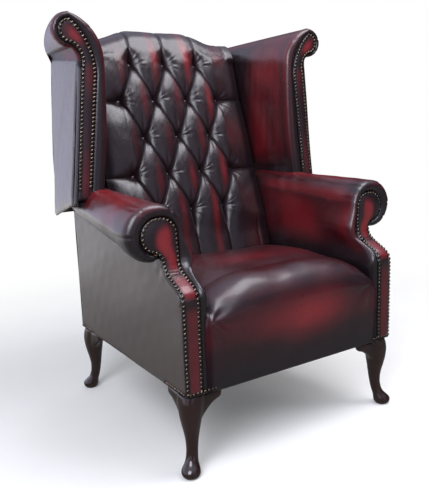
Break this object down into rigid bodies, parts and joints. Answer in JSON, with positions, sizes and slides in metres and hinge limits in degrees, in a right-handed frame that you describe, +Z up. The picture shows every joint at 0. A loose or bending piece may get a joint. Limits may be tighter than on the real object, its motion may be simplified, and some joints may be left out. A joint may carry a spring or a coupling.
{
  "type": "wing chair",
  "caption": "High-back upholstered wing chair with scrolled wings and arms, deep-buttoned back, tight domed seat, stud-lined facings and short curved legs.",
  "frame": {"origin": "on the floor, midway between the chair's sides and between its foremost and rearmost points", "axes": "+Z up, -Y the way the chair faces, +X to the right as seen from in front"},
  "size_m": [0.8564, 0.7453, 1.0792],
  "materials": {
    "leather": "oxblood hide, rubbed red on the high edges, semi-gloss",
    "frame_wood": "sawn hardwood, unfinished",
    "polished_wood": "dark mahogany, gloss polish",
    "bolt_steel": "plain steel",
    "webbing": "woven strap",
    "hessian": "coarse woven cloth",
    "dust_cloth": "thin black cloth",
    "twine": "waxed twine",
    "padding": "soft filling"
  },
  "bodies": {
    "root": {"back_buttons": "leather", "back_cover": "leather", "back_foam": "padding", "back_webbing": "webbing", "button_twines": "twine", "corner_blocks": "frame_wood", "crest_rail": "frame_wood", "dust_cover": "dust_cloth", "front_rail": "frame_wood", "knee_brackets": "polished_wood", "left_arm_cover": "leather", "left_arm_facing": "leather", "left_arm_foam": "padding", "left_arm_post": "frame_wood", "left_arm_rail": "frame_wood", "left_back_post": "frame_wood", "left_front_leg": "polished_wood", "left_outside_arm": "leather", "left_outside_arm_board": "frame_wood", "left_outside_wing": "leather", "left_outside_wing_board": "frame_wood", "left_rear_leg": "polished_wood", "left_side_rail": "frame_wood", "left_wing_board": "frame_wood", "left_wing_cover": "leather", "left_wing_facing": "leather", "left_wing_foam": "padding", "left_wing_rail": "frame_wood", "leg_bolts": "bolt_steel", "outside_back": "leather", "outside_back_board": "frame_wood", "rear_rail": "frame_wood", "right_arm_cover": "leather", "right_arm_facing": "leather", "right_arm_foam": "padding", "right_arm_post": "frame_wood", "right_arm_rail": "frame_wood", "right_back_post": "frame_wood", "right_front_leg": "polished_wood", "right_outside_arm": "leather", "right_outside_arm_board": "frame_wood", "right_outside_wing": "leather", "right_outside_wing_board": "frame_wood", "right_rear_leg": "polished_wood", "right_side_rail": "frame_wood", "right_wing_board": "frame_wood", "right_wing_cover": "leather", "right_wing_facing": "leather", "right_wing_foam": "padding", "right_wing_rail": "frame_wood", "seat_cover": "leather", "seat_foam": "padding", "seat_hessian": "hessian", "seat_webbing": "webbing", "stay_rail": "frame_wood"}
  },
  "joints": []
}
